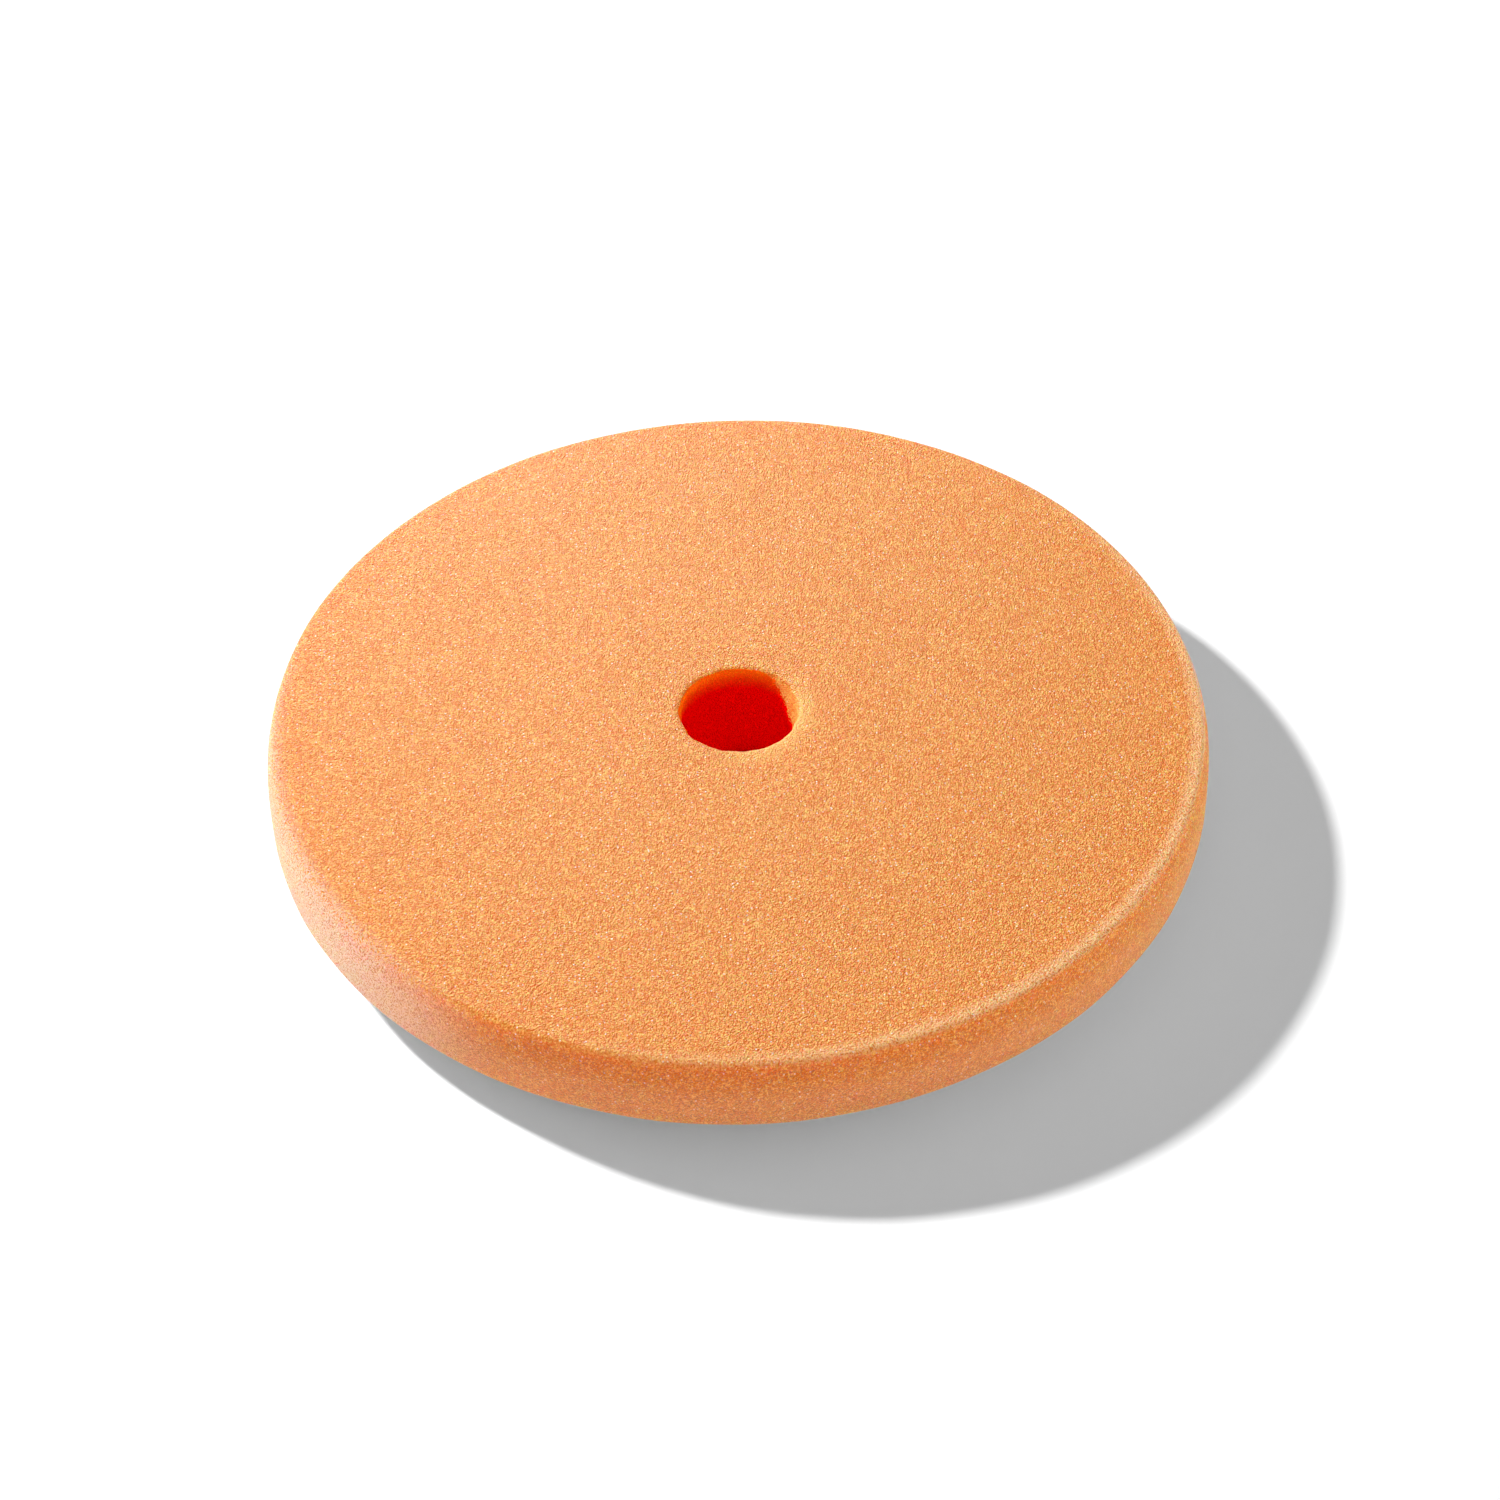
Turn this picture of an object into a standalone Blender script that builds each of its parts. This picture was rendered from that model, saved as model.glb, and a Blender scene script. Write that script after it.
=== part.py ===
"""A foam polishing pad for a 150 mm hook-and-loop backing plate.

The pad is a laminate, turned about +Z, with its working face up. From the bottom
it is a loop pile, the knit that carries the pile, a hot-melt adhesive film and the
foam disc. A centring hole runs through every layer. The origin is the middle of
the loop pile's underside.
"""

from math import cos, pi, radians, sin

import bmesh
import bpy

# Driving dimensions, in metres.
PAD_DIAMETER = 0.165
PAD_HEIGHT = 0.0218
FACE_DIAMETER = 0.1618
WIDEST_BELOW_FACE = 0.0124
BACKING_DIAMETER = 0.147
HOLE_DIAMETER = 0.021

# Layer thicknesses, and the gap that keeps two touching layers apart as solids.
PILE_THICKNESS = 0.001
KNIT_THICKNESS = 0.00035
ADHESIVE_THICKNESS = 0.00015
GAP = 0.0003

# The side wall: how sharply it swells out under the face, its small round at the
# face's edge, and the round nose between the wall and the undercut.
SWELL_POWER = 3.9
FACE_EDGE_ROUND = 0.0006
NOSE_ROUND = 0.0022
WALL_POINTS = 7
NOSE_POINTS = 4

SEGMENTS = 96
SHARP_ANGLE = radians(35)

PAD_RADIUS = PAD_DIAMETER / 2
FACE_RADIUS = FACE_DIAMETER / 2
BACKING_RADIUS = BACKING_DIAMETER / 2
HOLE_RADIUS = HOLE_DIAMETER / 2

KNIT_BOTTOM = PILE_THICKNESS + GAP
ADHESIVE_BOTTOM = KNIT_BOTTOM + KNIT_THICKNESS + GAP
FOAM_BOTTOM = ADHESIVE_BOTTOM + ADHESIVE_THICKNESS + GAP
NOSE_HEIGHT = PAD_HEIGHT - WIDEST_BELOW_FACE


def material(name, color, roughness):
    """A plain non-metal Principled material."""
    made = bpy.data.materials.new(name)
    made.use_nodes = True
    shader = made.node_tree.nodes["Principled BSDF"]
    shader.inputs["Base Color"].default_value = (*color, 1)
    shader.inputs["Roughness"].default_value = roughness
    shader.inputs["Metallic"].default_value = 0
    return made


def turned_ring(name, profile, finish):
    """The closed (radius, height) profile, turned a full circle about +Z."""
    mesh = bpy.data.meshes.new(name)
    bm = bmesh.new()
    corners = [bm.verts.new((radius, 0, height)) for radius, height in profile]
    edges = [bm.edges.new(pair) for pair in zip(corners, corners[1:] + corners[:1])]
    bmesh.ops.spin(
        bm,
        geom=corners + edges,
        cent=(0, 0, 0),
        axis=(0, 0, 1),
        angle=2 * pi,
        steps=SEGMENTS,
        use_merge=True,
    )
    bmesh.ops.recalc_face_normals(bm, faces=bm.faces)
    bm.to_mesh(mesh)
    bm.free()
    mesh.shade_smooth()
    mesh.set_sharp_from_angle(angle=SHARP_ANGLE)
    mesh.materials.append(finish)
    ring = bpy.data.objects.new(name, mesh)
    bpy.context.scene.collection.objects.link(ring)
    return ring


def flat_layer(name, bottom, thickness, finish):
    """A flat ring of the backing's size, from the centring hole to the rim."""
    top = bottom + thickness
    profile = [
        (HOLE_RADIUS, bottom),
        (HOLE_RADIUS, top),
        (BACKING_RADIUS, top),
        (BACKING_RADIUS, bottom),
    ]
    return turned_ring(name, profile, finish)


def wall_radius(share):
    """The wall's radius at a share of the way down from the face to the nose."""
    return PAD_RADIUS - (PAD_RADIUS - FACE_RADIUS) * (1 - share) ** SWELL_POWER


def foam_profile():
    """The foam's section: hole, face, swelling wall, round nose and undercut."""
    profile = [(HOLE_RADIUS, FOAM_BOTTOM), (HOLE_RADIUS, PAD_HEIGHT)]
    profile.append((FACE_RADIUS - FACE_EDGE_ROUND, PAD_HEIGHT))
    for i in range(WALL_POINTS):
        share = (i / (WALL_POINTS - 1)) ** 2
        depth = FACE_EDGE_ROUND + share * (WIDEST_BELOW_FACE - FACE_EDGE_ROUND)
        profile.append((wall_radius(depth / WIDEST_BELOW_FACE), PAD_HEIGHT - depth))
    for i in range(1, NOSE_POINTS + 1):
        turn = radians(45) * i / NOSE_POINTS
        radius = PAD_RADIUS - NOSE_ROUND * (1 - cos(turn))
        profile.append((radius, NOSE_HEIGHT - NOSE_ROUND * sin(turn)))
    profile.append((BACKING_RADIUS, FOAM_BOTTOM))
    return profile


def build_pad():
    """The four layers, from the pile up, held together by an empty."""
    foam = material("orange_foam", (0.93, 0.44, 0.16), 0.95)
    adhesive = material("hot_melt_adhesive", (0.80, 0.66, 0.45), 0.45)
    knit = material("white_ground_knit", (0.78, 0.77, 0.74), 0.9)
    pile = material("white_loop_pile", (0.86, 0.85, 0.83), 0.95)
    layers = [
        flat_layer("loop_pile", 0, PILE_THICKNESS, pile),
        flat_layer("backing_knit", KNIT_BOTTOM, KNIT_THICKNESS, knit),
        flat_layer("adhesive_film", ADHESIVE_BOTTOM, ADHESIVE_THICKNESS, adhesive),
        turned_ring("foam_disc", foam_profile(), foam),
    ]
    pad = bpy.data.objects.new("polishing_pad", None)
    bpy.context.scene.collection.objects.link(pad)
    for layer in layers:
        layer.parent = pad


for old in list(bpy.data.objects):
    bpy.data.objects.remove(old)
build_pad()
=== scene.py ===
"""Looks of a foam polishing pad: open-cell foam, hot-melt film and loop fabric."""
from math import cos, floor, hypot, pi, radians, sin
from random import Random

import bmesh
import bpy
from mathutils import Matrix, Vector, noise


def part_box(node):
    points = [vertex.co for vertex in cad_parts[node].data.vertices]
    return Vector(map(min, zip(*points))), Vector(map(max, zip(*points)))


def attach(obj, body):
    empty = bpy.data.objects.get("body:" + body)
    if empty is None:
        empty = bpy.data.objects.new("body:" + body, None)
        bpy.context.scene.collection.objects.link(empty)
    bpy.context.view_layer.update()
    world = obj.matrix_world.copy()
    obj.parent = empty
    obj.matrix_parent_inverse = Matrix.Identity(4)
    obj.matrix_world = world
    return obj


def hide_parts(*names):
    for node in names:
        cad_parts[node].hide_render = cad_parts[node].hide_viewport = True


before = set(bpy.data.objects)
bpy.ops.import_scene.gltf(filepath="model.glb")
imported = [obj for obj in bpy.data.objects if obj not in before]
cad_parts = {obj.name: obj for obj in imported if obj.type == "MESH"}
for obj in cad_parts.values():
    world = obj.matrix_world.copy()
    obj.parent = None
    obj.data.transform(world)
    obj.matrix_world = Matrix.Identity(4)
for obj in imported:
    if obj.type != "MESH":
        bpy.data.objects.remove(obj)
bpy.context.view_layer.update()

# ---------------------------------------------------------------------------
# Driving values, in metres unless a name says otherwise.

MM = 0.001

# The foam's section, worked out from its CAD solid.
FOAM_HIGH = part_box("foam_disc")[1]
PAD_RADIUS = FOAM_HIGH.x
PAD_TOP = FOAM_HIGH.z
FACE_RADIUS = 80.9 * MM
HOLE_RADIUS = 10.3 * MM
HOLE_SHIFT = (0.4 * MM, -0.1 * MM)
HOLE_SHIFT_REACH = 6 * MM
WIDEST_BELOW_FACE = 12.4 * MM
SWELL_POWER = 3.9
FACE_EDGE_ROUND = 1.1 * MM
HOLE_EDGE_ROUND = 0.8 * MM
NOSE_ROUND = 2.2 * MM
UNDERCUT_TURN = radians(48)

# The backing's layers lie on each other without the CAD solids' gaps.
PILE_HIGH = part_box("loop_pile")[1]
KNIT_LOW, KNIT_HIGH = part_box("backing_knit")
FILM_LOW, FILM_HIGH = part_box("adhesive_film")
BACKING_RADIUS = KNIT_HIGH.x
KNIT_BOTTOM = PILE_HIGH.z
KNIT_TOP = KNIT_BOTTOM + KNIT_HIGH.z - KNIT_LOW.z
FOAM_BOTTOM = KNIT_TOP + FILM_HIGH.z - FILM_LOW.z

# The foam's mesh: the side of its triangles, and of those that are bonded over, and the
# fewest vertices that any ring has.
GRAIN_STEP = 0.62 * MM
HIDDEN_STEP = 6 * MM
FEWEST_AROUND = 24

# Relief that is modelled in the foam's mesh.
CELL_SIZE = 1.3 * MM
CELL_DEPTH = 0.035 * MM
WAVE_SIZE = 14 * MM
WAVE_DEPTH = 0.12 * MM
RAGGED_SIZE = 2 * MM
RAGGED_DEPTH = 0.35 * MM
RAGGED_REACH = 2 * MM

# The foam's fine texture, which is too small for the mesh.
GRAIN_SIZE = 0.27 * MM
BUMP_DEPTH = 0.45 * MM
STRUT_SPACING = 0.26 * MM
TINT_SIZE = 4 * MM
# Spacing of the painted highlights, pale glint spots.
GLINT_SPACING = 0.7 * MM

# Textures are turned, so that no flat surface lies along their lattice.
NOISE_TURN = (0.7, 0.5, 0.3)

# Foam colours, several of them painted light and shade as noted, and how far red, green and blue
# light travel inside the foam.
FOAM_DEEP = (0.73, 0.17, 0.0)
FOAM_PALE = (1.0, 0.54, 0.115)
# Painted light: the pinker colour of the lower wall, for light bounced up from the white floor.
FOAM_PINK = (1.0, 0.38, 0.19)
# Painted highlight: the pale colour of glint spots on cut strut ends.
FOAM_PAINTED_GLINT = (1.0, 0.90, 0.80)
# Painted shade: the darker colour just under the face's edge.
FOAM_UPPER_WALL_SHADE = (0.78, 0.17, 0.012)
# Painted light: a pale line where the key light leaves the foam at the face's far edge.
FOAM_PAINTED_EDGE_GLOW = (1.0, 0.62, 0.30)
# Painted light: a paler lit copy of the foam's colour, where the key light reaches the hole's
# wall.
FOAM_LIT = (0.92, 0.455, 0.095)
# Painted light: a pale patch on the face beside the hole, where the key light leaves the foam.
FOAM_GLOW_BESIDE_HOLE = (1.0, 0.64, 0.16)
# Painted shade: the dark colour of hollow cells near the top of the wall.
FOAM_PIT_SHADE = (0.48, 0.14, 0.06)
# Painted sheen: the pale colour where the key light falls on the left edge, also used for a thin
# painted highlight along the far rim.
FOAM_PAINTED_SHEEN = (0.87, 0.63, 0.49)
PAINTED_SHEEN_SIDE = (-0.94, -0.34, 0)
LINED_SIDE = (0.3, 0.95, 0)
# Painted shade in the hole: beyond the key light's reach its wall is painted orange, then red
# deeper down, for light that has been through the foam.
HOLE_ORANGE = (0.93, 0.14, 0.003)
HOLE_RED = (0.97, 0.0, 0.0)
OUTER_BOUNCE = (0.6, 0.6, 0.6)
FOAM_REACH = (16 * MM, 1 * MM, 0)

# Masks over the foam: where each is closed, where it is open, and how far it opens if not
# fully. A depth is below the face, a radius is from the axis, and an along is how far a
# point lies from the axis on a side. A grain is a value of the fine texture.
TINT_CLOUD = (0.35, 0.7, 0.08)
# Where the painted glint spots lie.
GLINT_APART = (0.32, 0.05)
GLINT_CHOICE = (0.5, 0.9)
# Painted shade just under the face's edge, left off on the side away from the key light.
UPPER_SHADE_START = (0.5 * MM, 2 * MM)
UPPER_SHADE_END = (7 * MM, 3.5 * MM, 0.15)
UPPER_SHADE_ALONG = (75 * MM, 35 * MM)
# Painted floor-bounced light, growing down the wall.
PINK_DEPTH = (3 * MM, 9 * MM, 0.3)
# Painted shade in hollow cells, near the top of the wall.
PIT_GRAIN = (0.5, 0.3)
PIT_DEPTH = (0.5 * MM, 2 * MM, 0.6)
EDGE_GRAIN = (0.3, 0.6)
# Painted glow along the face's edge, more on the side away from the key light.
EDGE_GLOW_INSIDE = (FACE_RADIUS - 3 * MM, FACE_RADIUS - 0.5 * MM)
EDGE_GLOW_OUTSIDE = (FACE_RADIUS + 0.6 * MM, FACE_RADIUS - 0.1 * MM)
EDGE_GLOW_ALONG = (-5 * MM, 85 * MM, 0.9)
# Painted glow beside the hole, on the side away from the key light.
GLOW_BESIDE_HOLE_RADIUS = (HOLE_RADIUS + 5 * MM, HOLE_RADIUS)
GLOW_BESIDE_HOLE_ALONG = (0.0, 12 * MM, 0.55)
# Painted sheen on the left edge, which the key light falls on.
PAINTED_SHEEN_RADIUS = (FACE_RADIUS - 3 * MM, FACE_RADIUS + 1.5 * MM)
PAINTED_SHEEN_ALONG = (61 * MM, 81 * MM, 0.92)
# A thin painted highlight along the far rim.
LINE_RADIUS = (FACE_RADIUS - 0.4 * MM, FACE_RADIUS + 0.4 * MM)
LINE_DEPTH = (1.5 * MM, 0.7 * MM)
LINE_ALONG = (0.0, 40 * MM, 0.8)

# How the foam takes light: gloss, light carried inside it, and sheen on its wall.
FOAM_ROUGHNESS = 0.6
FOAM_GLOSS = 0.25
FACE_SCATTER = 0.35
WALL_SCATTER = (0.2 * MM, 1.2 * MM, 0.65)
FOOT_SCATTER = (17 * MM, 13 * MM)
HOLE_SCATTER = 0.5
WALL_SHEEN = (0.2 * MM, 2 * MM, 0.1)
SHEEN_TINT = (1.0, 0.86, 0.78, 1)

# The hole: where the key light ends on its wall, and masks as above. Unlit is how far
# a point lies below that end, and less than 0 where it is lit.
SHADOW_EDGE_SIZE = 0.6 * MM
SHADOW_EDGE_DEPTH = 6 * MM
SHADOW_EDGE_LIFT = 0.8 * MM
SHADOW_EDGE_START = (0.0, 4 * MM)
# Masks of the painted red shade and the painted lit copy on the hole's wall.
RED_DEPTH = (0.6 * MM, 5 * MM)
BELOW_RIM = (0.0, MM)
DARK_UNLIT = (0.0, 0.2 * MM)
LIT_UNLIT = (0.0, -2 * MM)
LIT_GRAIN = (0.35, 0.55)
GLOSS_UNLIT = (0.4 * MM, 0.0, FOAM_GLOSS)

# Painted glow: emission on the hole's wall, for light that has seeped through the foam into the
# hole.
RIM_SEEP = (3 * MM, 0.0, 0.16)
DEEP_SEEP = (10 * MM, 20 * MM, 0.08)
WALL_SEEP = (0.3 * MM, MM, 0.08)
LIT_SEEP = (0.0, -2 * MM, 0.10)

# The loop fabric: a knit ground with rows of yarn loops under it.
ROW_SPACING = 1.92 * MM
LOOP_WIDTH = 1.55 * MM
LOOP_DEPTH = 0.84 * MM
YARN_RADIUS = 0.13 * MM
LOOP_BENDS = 7
YARN_SIDES = 3
EDGE_MARGIN = 1.0 * MM
KNIT_STEP = 0.62 * MM
KNIT_RELIEF = 0.05 * MM
KNIT_FRAY = 0.15 * MM
FRAY_SIZE = 0.8 * MM
FILM_SQUEEZE = 0.2 * MM
SQUEEZE_SIZE = 4 * MM
BACKING_STEP = 2 * MM

# How much the loops differ: in place (shares of a spacing), turn, lean and size.
LOOP_SEED = 4
LOOP_STRAY = 0.14
LOOP_TURN = (radians(50), radians(130))
LOOP_LEAN = (-0.2, 0.7)
LOOP_SIDE_LEAN = (-0.4, 0.4)
LOOP_SIZE = (0.85, 1.0)
LOOP_BELLY = 0.2
LOOP_ROUNDNESS = 0.8

# Backing colours, dark and pale, and their textures.
FILM_TONES = ((0.72, 0.55, 0.34), (0.85, 0.74, 0.55))
FILM_CLOUD_SIZE = 1.2 * MM
FILM_BUMP = 0.05 * MM
LOOP_TONES = ((0.66, 0.65, 0.63), (0.88, 0.87, 0.85))
LOOP_SHEEN = 0.4
KNIT_TONES = ((0.5, 0.49, 0.47), (0.8, 0.79, 0.76))
KNIT_SHEEN = 0.2
FIBRE_SIZE = 0.12 * MM
FIBRE_BUMP = 0.06 * MM
FIBRE_SHARE = 0.7
PATCH_SIZE = 5 * MM
PATCH_SHARE = 0.3
TONE_LIMITS = (0.3, 0.7)

# Camera and lights.
CAMERA_PLACE = (0, -0.41733, 0.41716)
CAMERA_AIM = (0.00207, -0.01046, PAD_TOP)
CAMERA_ROLL = radians(-1.477)
CAMERA_LENS_MM = 78.99
KEY_PLACE = (-0.8517, 0.5021, 0.8527)
BEAM = Vector((-KEY_PLACE[0], -KEY_PLACE[1], 0))
KEY_RADIUS = 0.045
KEY_POWER = 83
FILL_STRENGTH = 0.37
BRIGHT_SIDE = (0.93, -0.37, 0)
BRIGHT_WIDTH = (0.3, 0.9)
BRIGHT_HEIGHT = (0.3, 0.05, 5.6)
VEIL_PLACE = (-0.12, 0.42, 0.17)
VEIL_SIZE = 0.25
VEIL_POWER = 4.5
FLOOR_PALE = 1.0
FLOOR_REACH = 3


# ---------------------------------------------------------------------------
# Meshes made of stitched rings.


def path_points(corners, step):
    """Points every step along straight runs between corners, ends included."""
    points = [corners[0]]
    for (r0, z0), (r1, z1) in zip(corners, corners[1:]):
        count = max(1, round(hypot(r1 - r0, z1 - z0) / step))
        for i in range(1, count + 1):
            t = i / count
            points.append((r0 + (r1 - r0) * t, z0 + (z1 - z0) * t))
    return points


def arc(centre, radius, start, end, count):
    """Points on an arc in the (radius, height) plane, angles in radians."""
    turns = [start + (end - start) * i / count for i in range(count + 1)]
    return [(centre[0] + radius * cos(a), centre[1] + radius * sin(a)) for a in turns]


def add_ring(bm, radius, height, step, turn=0.0):
    """A ring of vertices spaced by step, as (angle, vertex) pairs in order."""
    count = max(FEWEST_AROUND, round(2 * pi * radius / step))
    ring = []
    for i in range(count):
        angle = 2 * pi * (i + turn) / count
        vert = bm.verts.new((radius * cos(angle), radius * sin(angle), height))
        ring.append((angle, vert))
    return ring


def stitch(bm, lower, upper):
    """Triangles between two rings that may have different vertex counts."""
    i = j = 0
    faces = []

    def at(ring, k):
        angle, vert = ring[k % len(ring)]
        return angle + 2 * pi * (k // len(ring)), vert

    while i < len(lower) or j < len(upper):
        low, low_next = at(lower, i), at(lower, i + 1)
        up, up_next = at(upper, j), at(upper, j + 1)
        if j >= len(upper) or (i < len(lower) and low_next[0] <= up_next[0]):
            faces.append(bm.faces.new((low[1], low_next[1], up[1])))
            i += 1
        else:
            faces.append(bm.faces.new((low[1], up_next[1], up[1])))
            j += 1
    return faces


def section_normals(points):
    """Outward unit normals of an open outline that runs up, over and down."""
    normals = []
    for i in range(len(points)):
        r0, z0 = points[max(i - 1, 0)]
        r1, z1 = points[min(i + 1, len(points) - 1)]
        length = hypot(r1 - r0, z1 - z0)
        normals.append((-(z1 - z0) / length, (r1 - r0) / length))
    return normals


def make_object(name, mesh, *finishes):
    """A smooth shaded object from a mesh, with its materials."""
    mesh.shade_smooth()
    for finish in finishes:
        mesh.materials.append(finish)
    made = bpy.data.objects.new(name, mesh)
    bpy.context.scene.collection.objects.link(made)
    return made


def closed_mesh(name, bm):
    """A mesh from a closed bmesh, with its faces pointing out."""
    bmesh.ops.recalc_face_normals(bm, faces=bm.faces)
    mesh = bpy.data.meshes.new(name)
    bm.to_mesh(mesh)
    bm.free()
    return mesh


# ---------------------------------------------------------------------------
# Foam.


def wall_radius(share):
    """The side wall's radius at a share of the way from the face to the nose."""
    return PAD_RADIUS - (PAD_RADIUS - FACE_RADIUS) * (1 - share) ** SWELL_POWER


def foam_outline():
    """The skin's outline from the hole's foot, over the face, to the base."""
    rim_middle = (HOLE_RADIUS + HOLE_EDGE_ROUND, PAD_TOP - HOLE_EDGE_ROUND)
    rim = arc(rim_middle, HOLE_EDGE_ROUND, pi, pi / 2, 2)
    edge_turn = radians(28)
    edge_end = FACE_EDGE_ROUND * (1 - sin(edge_turn))
    edge_middle = (
        wall_radius(edge_end / WIDEST_BELOW_FACE) - FACE_EDGE_ROUND * cos(edge_turn),
        PAD_TOP - FACE_EDGE_ROUND,
    )
    edge = arc(edge_middle, FACE_EDGE_ROUND, pi / 2, edge_turn, 3)
    wall_count = 20
    wall = []
    for i in range(1, wall_count + 1):
        depth = edge_end + (WIDEST_BELOW_FACE - edge_end) * i / wall_count
        wall.append((wall_radius(depth / WIDEST_BELOW_FACE), PAD_TOP - depth))
    nose_middle = (PAD_RADIUS - NOSE_ROUND, PAD_TOP - WIDEST_BELOW_FACE)
    nose = arc(nose_middle, NOSE_ROUND, 0, -UNDERCUT_TURN, 3)[1:]
    outline = [(HOLE_RADIUS, FOAM_BOTTOM)] + rim + edge + wall + nose
    outline.append((BACKING_RADIUS, FOAM_BOTTOM))
    return path_points(outline, GRAIN_STEP)


def foam_relief(place):
    """How far the foam's skin stands out at a point: cells and a slight wave."""
    cells = noise.voronoi(place / CELL_SIZE)[0][0]
    wave = noise.noise(place / WAVE_SIZE)
    return CELL_DEPTH * (0.5 - cells) + WAVE_DEPTH * wave


def raggedness(place, radius):
    """How far the hole's cut edge wanders from its circle, fading on the face."""
    reach = max(0.0, 1 - (radius - HOLE_RADIUS) / RAGGED_REACH)
    return reach * RAGGED_DEPTH * noise.noise(place / RAGGED_SIZE)


def hole_shift(radius):
    """How far the hole, punched a little off centre, pulls its surroundings."""
    reach = max(0.0, 1 - max(0.0, radius - HOLE_RADIUS) / HOLE_SHIFT_REACH)
    return Vector((*HOLE_SHIFT, 0)) * reach


def build_foam(skin_finish, hole_finish):
    """The foam block: fine relief all over, flat where it is bonded."""
    skin = foam_outline()
    normals = section_normals(skin)
    bm = bmesh.new()
    rings = []
    for i, ((radius, height), (out, up)) in enumerate(zip(skin, normals)):
        ring = add_ring(bm, radius, height, GRAIN_STEP, 0.5 * (i % 2))
        bonded = i in (0, len(skin) - 1)
        for angle, vert in ring:
            if not bonded:
                lift = foam_relief(vert.co)
                side = out * lift + raggedness(vert.co, radius)
                vert.co += Vector((side * cos(angle), side * sin(angle), up * lift))
            vert.co += hole_shift(radius)
        rings.append(ring)
    base = path_points([skin[-1], skin[0]], HIDDEN_STEP)
    for radius, height in base[1:-1]:
        rings.append(add_ring(bm, radius, height, HIDDEN_STEP))
        for angle, vert in rings[-1]:
            vert.co += hole_shift(radius)
    rim_radius = HOLE_RADIUS + HOLE_EDGE_ROUND
    hole_rings = sum(1 for radius, height in skin if radius < rim_radius)
    for i, (lower, upper) in enumerate(zip(rings, rings[1:] + rings[:1])):
        for face in stitch(bm, lower, upper):
            face.material_index = int(i < hole_rings - 1)
    return make_object("foam_pad", closed_mesh("foam_pad", bm), skin_finish, hole_finish)


# ---------------------------------------------------------------------------
# Backing: film, knit ground and loops.


def build_film(finish):
    """The hot-melt film, squeezed out a little along its outer edge."""
    middle = (KNIT_TOP + FOAM_BOTTOM) / 2
    bead = (FOAM_BOTTOM - KNIT_TOP) / 2
    bulge = arc((BACKING_RADIUS, middle), bead, -pi / 2, pi / 2, 4)
    under = path_points([(HOLE_RADIUS, KNIT_TOP), bulge[0]], HIDDEN_STEP)
    over = path_points([bulge[-1], (HOLE_RADIUS, FOAM_BOTTOM)], HIDDEN_STEP)
    bm = bmesh.new()
    rings = []
    for radius, height in under + bulge[1:-1] + over:
        ring = add_ring(bm, radius, height, BACKING_STEP)
        for angle, vert in ring:
            if radius > BACKING_RADIUS - MM:
                push = FILM_SQUEEZE * abs(noise.noise(vert.co / SQUEEZE_SIZE))
                vert.co += Vector((push * cos(angle), push * sin(angle), 0))
        rings.append(ring)
    for lower, upper in zip(rings, rings[1:] + rings[:1]):
        stitch(bm, lower, upper)
    return make_object("hot_melt_film", closed_mesh("hot_melt_film", bm), finish)


def build_knit(finish):
    """The knit ground: ribs between the loop rows, and a slightly frayed rim."""
    under = path_points([(HOLE_RADIUS, KNIT_BOTTOM), (BACKING_RADIUS, KNIT_BOTTOM)], KNIT_STEP)
    over = path_points([(BACKING_RADIUS, KNIT_TOP), (HOLE_RADIUS, KNIT_TOP)], HIDDEN_STEP)
    bm = bmesh.new()
    rings = []
    for i, (radius, height) in enumerate(under):
        ring = add_ring(bm, radius, height, KNIT_STEP, 0.5 * (i % 2))
        for angle, vert in ring:
            rib = 0.5 + 0.5 * cos(2 * pi * vert.co.x / ROW_SPACING)
            vert.co.z += KNIT_RELIEF * rib
            if i == len(under) - 1:
                fray = KNIT_FRAY * noise.noise(vert.co / FRAY_SIZE)
                vert.co += Vector((fray * cos(angle), fray * sin(angle), 0))
        rings.append(ring)
    for radius, height in over:
        rings.append(add_ring(bm, radius, height, BACKING_STEP))
    for lower, upper in zip(rings, rings[1:] + rings[:1]):
        stitch(bm, lower, upper)
    return make_object("knit_ground", closed_mesh("knit_ground", bm), finish)


def loop_points(centre, turn, lean, size):
    """The middle line of one loop: out of the ground, round its foot and back."""
    root = KNIT_BOTTOM + 0.5 * YARN_RADIUS
    across = Vector((cos(turn), sin(turn), 0))
    points = []
    for i in range(LOOP_BENDS + 1):
        angle = pi * i / LOOP_BENDS
        belly = 1 + LOOP_BELLY * sin(angle)
        drop = LOOP_DEPTH * size * sin(angle) ** LOOP_ROUNDNESS
        place = centre + across * (-0.5 * LOOP_WIDTH * size * belly * cos(angle))
        place = place + lean * drop
        points.append(Vector((place.x, place.y, root - drop)))
    return points


def add_yarn(points, verts, faces):
    """A closed tube along points, added to the lists of vertices and faces."""
    first = len(verts)
    plane = (points[-1] - points[0]).cross(points[len(points) // 2] - points[0]).normalized()
    for i, place in enumerate(points):
        along = points[min(i + 1, len(points) - 1)] - points[max(i - 1, 0)]
        out = along.cross(plane).normalized()
        for k in range(YARN_SIDES):
            angle = 2 * pi * k / YARN_SIDES
            verts.append(place + YARN_RADIUS * (cos(angle) * out + sin(angle) * plane))
    for i in range(len(points) - 1):
        ring = first + i * YARN_SIDES
        for k in range(YARN_SIDES):
            a = ring + k
            b = ring + (k + 1) % YARN_SIDES
            faces.append((a, b, b + YARN_SIDES, a + YARN_SIDES))
    last = len(verts) - YARN_SIDES
    faces.append([first + k for k in reversed(range(YARN_SIDES))])
    faces.append([last + k for k in range(YARN_SIDES)])


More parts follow.
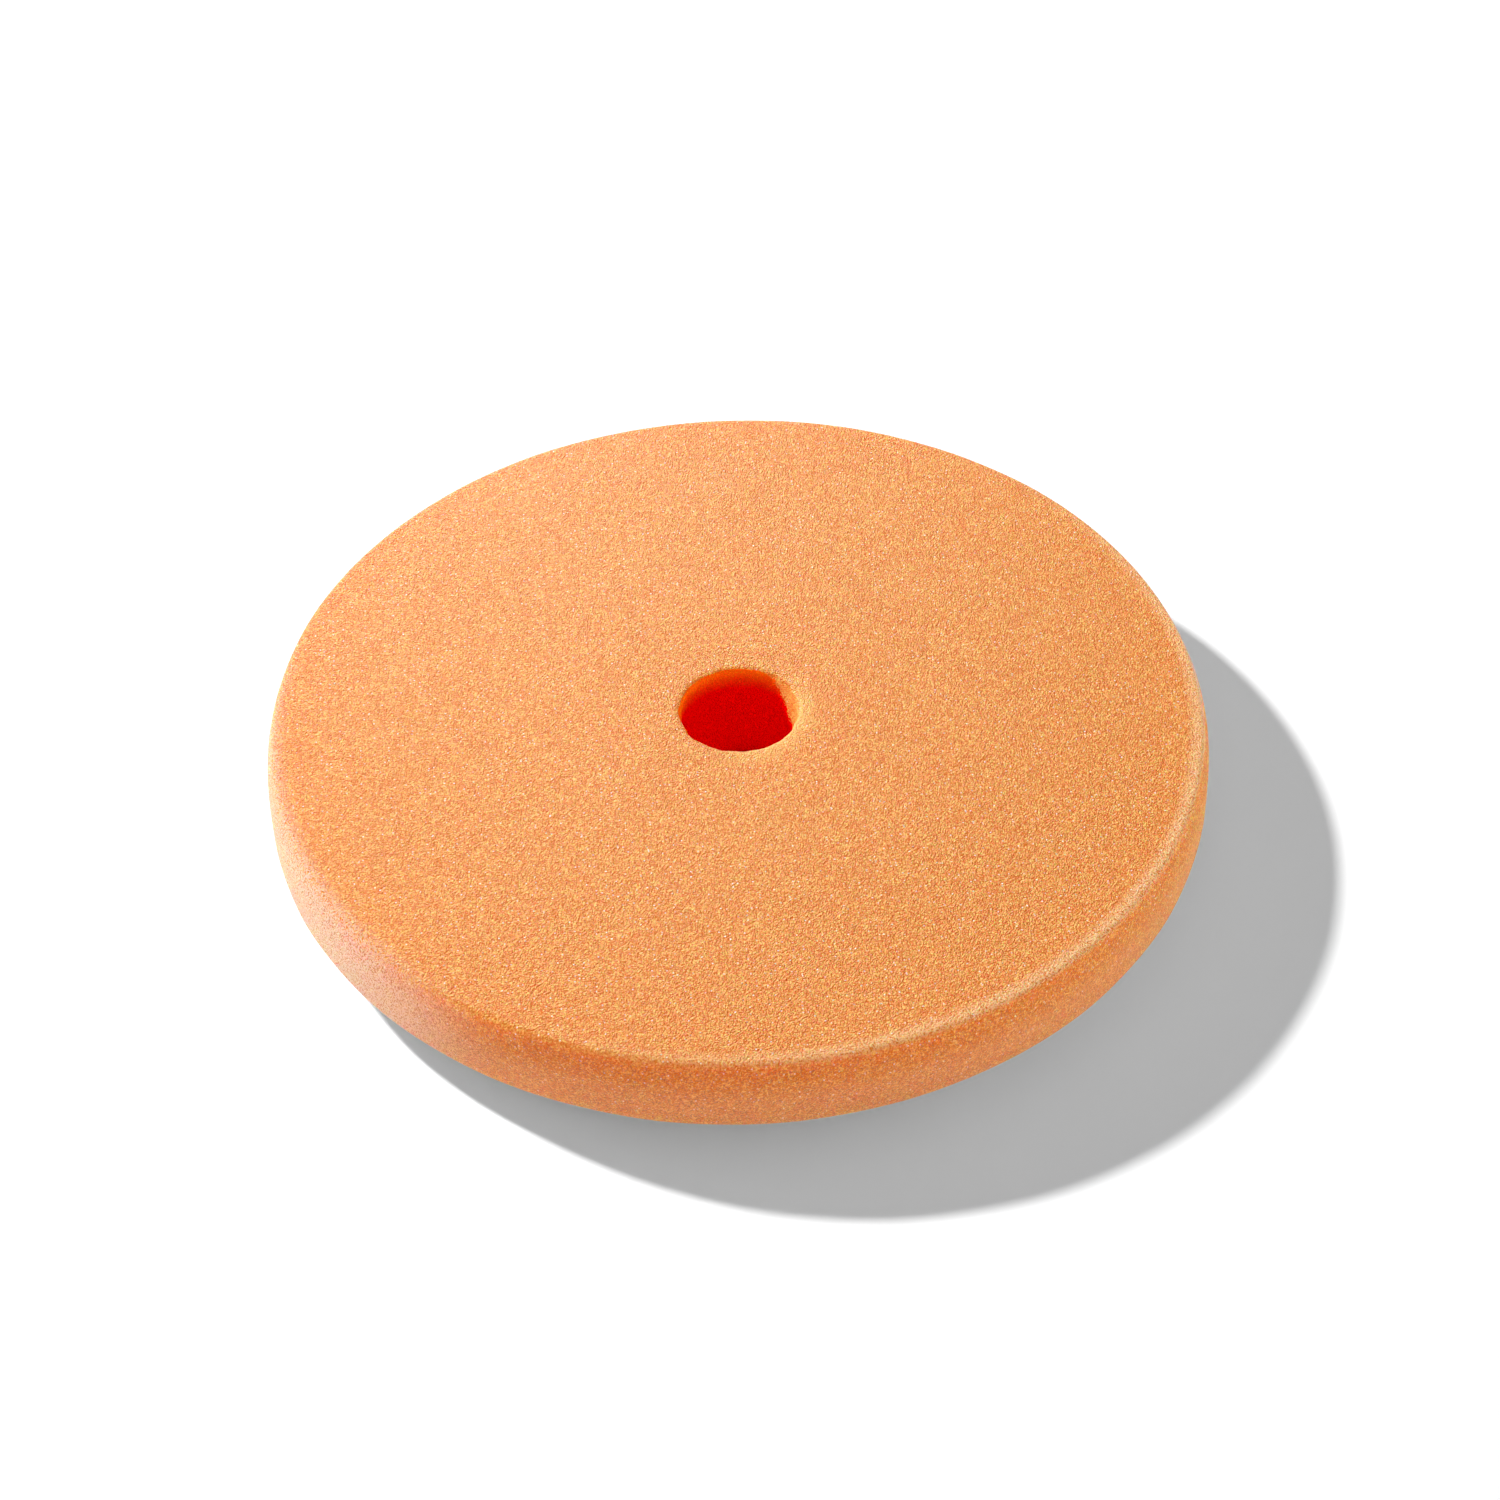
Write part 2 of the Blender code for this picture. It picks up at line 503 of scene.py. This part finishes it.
def build_loops(finish):
    """Rows of small yarn loops, brushed over a little, under the knit ground."""
    rng = Random(LOOP_SEED)
    verts = []
    faces = []
    rows = floor(BACKING_RADIUS / ROW_SPACING)
    for row in range(-rows, rows + 1):
        for step in range(-rows, rows + 1):
            shift = 0.5 * (row % 2)
            x = ROW_SPACING * (row + rng.uniform(-LOOP_STRAY, LOOP_STRAY))
            y = ROW_SPACING * (step + shift + rng.uniform(-LOOP_STRAY, LOOP_STRAY))
            turn = rng.uniform(*LOOP_TURN)
            lean = Vector((rng.uniform(*LOOP_LEAN), rng.uniform(*LOOP_SIDE_LEAN), 0))
            size = rng.uniform(*LOOP_SIZE)
            radius = hypot(x, y)
            if HOLE_RADIUS + EDGE_MARGIN < radius < BACKING_RADIUS - EDGE_MARGIN:
                points = loop_points(Vector((x, y, 0)), turn, lean, size)
                add_yarn(points, verts, faces)
    mesh = bpy.data.meshes.new("pile_loops")
    mesh.from_pydata(verts, [], faces)
    bm = bmesh.new()
    bm.from_mesh(mesh)
    bmesh.ops.recalc_face_normals(bm, faces=bm.faces)
    bm.to_mesh(mesh)
    bm.free()
    return make_object("pile_loops", mesh, finish)


# ---------------------------------------------------------------------------
# Materials.


class Nodes:
    """The node tree of a material or world, with short ways to add nodes to it."""

    def __init__(self, owner, shader):
        owner.use_nodes = True
        self.tree = owner.node_tree
        self.shader = self.tree.nodes[shader]
        space = self.add("TexCoord").outputs
        self.direction = space["Generated"]
        self.place = space["Object"]
        turned = {"Vector": self.place, "Rotation": NOISE_TURN}
        self.skewed = self.add("VectorRotate", turned, rotation_type="EULER_XYZ").outputs[0]

    def add(self, kind, values=(), **settings):
        node = self.tree.nodes.new("ShaderNode" + kind)
        for key, value in settings.items():
            setattr(node, key, value)
        for socket, value in dict(values).items():
            self.set(node.inputs[socket], value)
        return node

    def set(self, socket, value):
        if isinstance(value, bpy.types.NodeSocket):
            self.tree.links.new(value, socket)
        else:
            socket.default_value = value

    def shade(self, **values):
        """Sets the shader's own sockets, named with _ for a space."""
        for name, value in values.items():
            self.set(self.shader.inputs[name.replace("_", " ")], value)

    def noise(self, size, detail=0.0):
        values = {"Vector": self.skewed, "Scale": 1 / size, "Detail": detail}
        return self.add("TexNoise", values).outputs["Fac"]

    def scatter(self, spacing):
        """Scattered points: a number of its own for each, and how far away it is."""
        values = {"Vector": self.skewed, "Scale": 1 / spacing}
        points = self.add("TexVoronoi", values).outputs
        return self.add("SeparateColor", {0: points["Color"]}).outputs[0], points["Distance"]

    def math(self, operation, *values):
        return self.add("Math", enumerate(values), operation=operation).outputs[0]

    def dot(self, vector, way):
        """The share of a vector that lies along a way."""
        values = {0: vector, 1: Vector(way).normalized()}
        return self.add("VectorMath", values, operation="DOT_PRODUCT").outputs["Value"]

    def times(self, a, b):
        return self.math("MULTIPLY", a, b)

    def mask(self, value, low, high, top=1.0):
        """0 at low and top at high, with a smooth run between them."""
        values = {"Value": value, "From Min": low, "From Max": high, "To Max": top}
        node = self.add("MapRange", values, interpolation_type="SMOOTHSTEP")
        return node.outputs["Result"]

    def region(self, *masks):
        """Where all of several masks are open, each given as a value and its limits."""
        share = 1.0
        for value, limits in masks:
            share = self.times(share, self.mask(value, *limits))
        return share

    def mixed(self, share, first, second):
        colours = [c if isinstance(c, bpy.types.NodeSocket) else (*c, 1) for c in (first, second)]
        node = self.add("MixRGB", {0: share, 1: colours[0], 2: colours[1]})
        return node.outputs["Color"]

    def bump(self, height, depth):
        values = {"Height": height, "Strength": 1.0, "Distance": depth}
        self.shade(Normal=self.add("Bump", values).outputs["Normal"])


def new_finish(name):
    """A new material, and its nodes."""
    material = bpy.data.materials.new(name)
    return material, Nodes(material, "Principled BSDF")


def foam_colour(nodes):
    """Cut struts, each of its own tone, with a cloudy tint and painted highlights: pale glint
    spots on some cut ends.
    """
    tone, apart = nodes.scatter(STRUT_SPACING)
    colour = nodes.mixed(nodes.times(tone, tone), FOAM_DEEP, FOAM_PALE)
    cloud = nodes.mask(nodes.noise(TINT_SIZE, 1.0), *TINT_CLOUD)
    colour = nodes.mixed(cloud, colour, FOAM_DEEP)
    # Painted highlights: pale glint spots on some of the scattered points.
    choice, apart = nodes.scatter(GLINT_SPACING)
    painted_glint = nodes.region((apart, GLINT_APART), (choice, GLINT_CHOICE))
    return nodes.mixed(painted_glint, colour, FOAM_PAINTED_GLINT)


def radius_of(nodes):
    """The distance from the pad's axis."""
    flat = nodes.add("VectorMath", {0: nodes.place, 1: (1, 1, 0)}, operation="MULTIPLY")
    return nodes.add("VectorMath", {0: flat.outputs[0]}, operation="LENGTH").outputs["Value"]


def depth_of(nodes):
    """The depth below the working face."""
    return nodes.math("SUBTRACT", PAD_TOP, nodes.dot(nodes.place, (0, 0, 1)))


def lit_seen(nodes, colour, bounced):
    """The colour itself, and what it is taken for in light that has bounced."""
    path = nodes.add("LightPath").outputs["Is Diffuse Ray"]
    return nodes.mixed(path, colour, bounced)


def wall_tints(nodes, colour, depth, grain):
    """Down the wall: painted shade under the edge, then pinker painted floor-bounced light, and
    painted shade in hollow cells.
    """
    along = nodes.dot(nodes.place, BEAM)
    # Painted shade just under the face's edge, left off on the side away from the key light.
    upper_wall_shade = nodes.region((depth, UPPER_SHADE_START), (depth, UPPER_SHADE_END), (along, UPPER_SHADE_ALONG))
    colour = nodes.mixed(upper_wall_shade, colour, FOAM_UPPER_WALL_SHADE)
    # Painted light bounced up from the floor, pinker lower down.
    colour = nodes.mixed(nodes.mask(depth, *PINK_DEPTH), colour, FOAM_PINK)
    # Painted shade in hollow cells near the top of the wall.
    pit_shade = nodes.region((grain, PIT_GRAIN), (depth, PIT_DEPTH))
    return nodes.mixed(pit_shade, colour, FOAM_PIT_SHADE)


def painted_glow_tints(nodes, colour, radius, grain):
    """Painted light: a pale line along the face's edge and a pale patch beside the hole, on the
    side away from the key light, where its light leaves the foam.
    """
    along = nodes.dot(nodes.place, BEAM)
    # Painted glow along the face's edge, more on the side away from the key light.
    edge_glow = nodes.region(
        (radius, EDGE_GLOW_INSIDE), (radius, EDGE_GLOW_OUTSIDE), (along, EDGE_GLOW_ALONG), (grain, EDGE_GRAIN)
    )
    colour = nodes.mixed(edge_glow, colour, FOAM_PAINTED_EDGE_GLOW)
    # Painted glow beside the hole, on the side away from the key light.
    glow_beside_hole = nodes.region((radius, GLOW_BESIDE_HOLE_RADIUS), (along, GLOW_BESIDE_HOLE_ALONG))
    return nodes.mixed(glow_beside_hole, colour, FOAM_GLOW_BESIDE_HOLE)


def painted_sheen_tints(nodes, colour, radius, depth, grain):
    """Painted sheen: a wide pale edge on the side the key light falls on, and a thin painted
    highlight along the rim on another side.
    """
    # Painted sheen where the key light falls on the edge.
    along = nodes.dot(nodes.place, PAINTED_SHEEN_SIDE)
    painted_sheen = nodes.region((radius, PAINTED_SHEEN_RADIUS), (along, PAINTED_SHEEN_ALONG), (grain, EDGE_GRAIN))
    colour = nodes.mixed(painted_sheen, colour, FOAM_PAINTED_SHEEN)
    # A thin painted highlight along the rim on another side.
    along = nodes.dot(nodes.place, LINED_SIDE)
    line = nodes.region((radius, LINE_RADIUS), (depth, LINE_DEPTH), (along, LINE_ALONG))
    return nodes.mixed(line, colour, FOAM_PAINTED_SHEEN)


def foam_skin_material():
    """Open-cell foam: fine cells and pale struts, with painted glints, a painted glow and painted
    sheen along its edges, and painted shade and bounced light on its wall.
    """
    material, nodes = new_finish("orange_foam")
    radius = radius_of(nodes)
    depth = depth_of(nodes)
    grain = nodes.noise(GRAIN_SIZE)
    nodes.bump(grain, BUMP_DEPTH)
    colour = wall_tints(nodes, foam_colour(nodes), depth, grain)
    colour = painted_glow_tints(nodes, colour, radius, grain)
    colour = painted_sheen_tints(nodes, colour, radius, depth, grain)
    scatter = nodes.math("ADD", FACE_SCATTER, nodes.mask(depth, *WALL_SCATTER))
    nodes.shade(
        Base_Color=lit_seen(nodes, colour, OUTER_BOUNCE),
        Roughness=FOAM_ROUGHNESS,
        Specular_IOR_Level=FOAM_GLOSS,
        Subsurface_Weight=nodes.times(scatter, nodes.mask(depth, *FOOT_SCATTER)),
        Subsurface_Radius=FOAM_REACH,
        Subsurface_Scale=1.0,
        Sheen_Weight=nodes.mask(depth, *WALL_SHEEN),
        Sheen_Roughness=0.5,
        Sheen_Tint=SHEEN_TINT,
    )
    return material


def unlit_of(nodes, depth):
    """How far a point of the hole's wall lies below the ragged end of the key light."""
    fall = KEY_PLACE[2] / BEAM.length
    along = nodes.dot(nodes.place, BEAM)
    lit_depth = nodes.times(nodes.math("MAXIMUM", along, 0.0), 2 * fall)
    ragged = nodes.times(nodes.noise(SHADOW_EDGE_SIZE, 2.0), SHADOW_EDGE_DEPTH)
    ragged = nodes.math("SUBTRACT", ragged, SHADOW_EDGE_LIFT)
    ragged = nodes.times(nodes.mask(lit_depth, *SHADOW_EDGE_START), ragged)
    return nodes.math("ADD", nodes.math("SUBTRACT", depth, lit_depth), ragged)


def hole_painted_glow(nodes, depth, unlit, dark):
    """Painted glow, as emission, for light that has seeped through the foam: most at the rim, and
    some far down.
    """
    unlit_seep = nodes.math("ADD", nodes.mask(depth, *RIM_SEEP), nodes.mask(depth, *DEEP_SEEP))
    seep = nodes.math("ADD", nodes.times(dark, unlit_seep), nodes.mask(depth, *WALL_SEEP))
    return nodes.math("ADD", seep, nodes.region((depth, BELOW_RIM), (unlit, LIT_SEEP)))


def foam_hole_material():
    """The hole's wall: painted paler where the key light reaches, and painted red, with a painted
    glow, where only light that has been through foam arrives.
    """
    material, nodes = new_finish("foam_in_hole")
    depth = depth_of(nodes)
    unlit = unlit_of(nodes, depth)
    grain = nodes.noise(GRAIN_SIZE)
    nodes.bump(grain, BUMP_DEPTH)
    # Painted light and shade: a paler lit copy where the key light reaches, painted red shade
    # below its reach.
    lit = nodes.region((unlit, LIT_UNLIT), (grain, LIT_GRAIN), (depth, BELOW_RIM))
    colour = nodes.mixed(lit, foam_colour(nodes), FOAM_LIT)
    shaded = nodes.mixed(nodes.mask(depth, *RED_DEPTH), HOLE_ORANGE, HOLE_RED)
    dark = nodes.mask(unlit, *DARK_UNLIT)
    colour = nodes.mixed(dark, colour, shaded)
    nodes.shade(
        Base_Color=lit_seen(nodes, colour, HOLE_RED),
        Roughness=FOAM_ROUGHNESS,
        Specular_IOR_Level=nodes.mask(unlit, *GLOSS_UNLIT),
        Subsurface_Weight=HOLE_SCATTER,
        Subsurface_Radius=FOAM_REACH,
        Subsurface_Scale=1.0,
        # Painted glow: the hole's wall emits light in its own colour.
        Emission_Color=colour,
        Emission_Strength=hole_painted_glow(nodes, depth, unlit, dark),
    )
    return material


def film_material():
    """Hot-melt film: milky amber, a little glossy, with tiny bubbles."""
    material, nodes = new_finish("hot_melt")
    cloud = nodes.noise(FILM_CLOUD_SIZE, 2.0)
    nodes.bump(cloud, FILM_BUMP)
    nodes.shade(
        Base_Color=nodes.mixed(nodes.mask(cloud, *TONE_LIMITS), *FILM_TONES),
        Roughness=0.4,
        Subsurface_Weight=0.3,
        Subsurface_Radius=(MM, MM, MM),
        Subsurface_Scale=1.0,
    )
    return material


def yarn_material(name, tones, sheen):
    """Matt polyamide yarn: fine fibres and a slight unevenness of tone."""
    material, nodes = new_finish(name)
    fibres = nodes.noise(FIBRE_SIZE, 2.0)
    patches = nodes.noise(PATCH_SIZE, 1.0)
    share = nodes.math("ADD", nodes.times(fibres, FIBRE_SHARE), nodes.times(patches, PATCH_SHARE))
    nodes.bump(fibres, FIBRE_BUMP)
    nodes.shade(
        Base_Color=nodes.mixed(nodes.mask(share, *TONE_LIMITS), *tones),
        Roughness=0.7,
        Sheen_Weight=sheen,
        Sheen_Roughness=0.4,
    )
    return material


def floor_material():
    """A plain matt floor."""
    material, nodes = new_finish("pale_floor")
    nodes.shade(
        Base_Color=(FLOOR_PALE, FLOOR_PALE, FLOOR_PALE, 1),
        Roughness=1.0,
        Specular_IOR_Level=0.0,
    )
    return material


# ---------------------------------------------------------------------------
# Scene.


def add_camera():
    """The photo's camera, rolled a little."""
    data = bpy.data.cameras.new("camera")
    data.lens = CAMERA_LENS_MM
    data.sensor_width = 36
    data.clip_start = 0.01
    camera = bpy.data.objects.new("camera", data)
    camera.location = CAMERA_PLACE
    look = (Vector(CAMERA_AIM) - Vector(CAMERA_PLACE)).to_track_quat("-Z", "Y")
    turn = look.to_matrix() @ Matrix.Rotation(CAMERA_ROLL, 3, "Z")
    camera.rotation_euler = turn.to_euler()
    bpy.context.scene.collection.objects.link(camera)
    bpy.context.scene.camera = camera


def add_key_light():
    """A small lamp behind and to the left, which throws the shadow."""
    data = bpy.data.lights.new("key", "POINT")
    data.energy = KEY_POWER
    data.shadow_soft_size = KEY_RADIUS
    key = bpy.data.objects.new("key", data)
    key.location = KEY_PLACE
    bpy.context.scene.collection.objects.link(key)


def add_fill():
    """A white world, brighter low down on one side."""
    world = bpy.data.worlds.new("studio")
    bpy.context.scene.world = world
    nodes = Nodes(world, "Background")
    sideways = nodes.dot(nodes.direction, BRIGHT_SIDE)
    upward = nodes.dot(nodes.direction, (0, 0, 1))
    extra = nodes.region((sideways, BRIGHT_WIDTH), (upward, BRIGHT_HEIGHT))
    nodes.shade(Color=(1, 1, 1, 1), Strength=nodes.math("ADD", extra, FILL_STRENGTH))


def add_veil_light():
    """A low soft light behind the pad, which only shows as gloss."""
    data = bpy.data.lights.new("veil", "AREA")
    data.shape = "DISK"
    data.size = VEIL_SIZE
    data.energy = VEIL_POWER
    veil = bpy.data.objects.new("veil", data)
    veil.location = VEIL_PLACE
    veil.rotation_euler = (-Vector(VEIL_PLACE)).to_track_quat("-Z", "Y").to_euler()
    veil.visible_diffuse = False
    veil.visible_camera = False
    bpy.context.scene.collection.objects.link(veil)


def add_floor():
    """A wide floor, which isn't part of the pad."""
    bm = bmesh.new()
    bmesh.ops.create_grid(bm, x_segments=8, y_segments=8, size=FLOOR_REACH)
    ground = make_object("floor", closed_mesh("floor", bm), floor_material())


add_camera()
add_key_light()
add_fill()
add_veil_light()
add_floor()
bpy.context.scene.view_settings.view_transform = "Standard"

foam = build_foam(foam_skin_material(), foam_hole_material())
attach(foam, "root")
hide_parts("foam_disc")

film = build_film(film_material())
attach(film, "root")
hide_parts("adhesive_film")

loops = build_loops(yarn_material("loop_yarn", LOOP_TONES, LOOP_SHEEN))
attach(loops, "root")
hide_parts("loop_pile")

knit = build_knit(yarn_material("knit_yarn", KNIT_TONES, KNIT_SHEEN))
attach(knit, "root")
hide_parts("backing_knit")
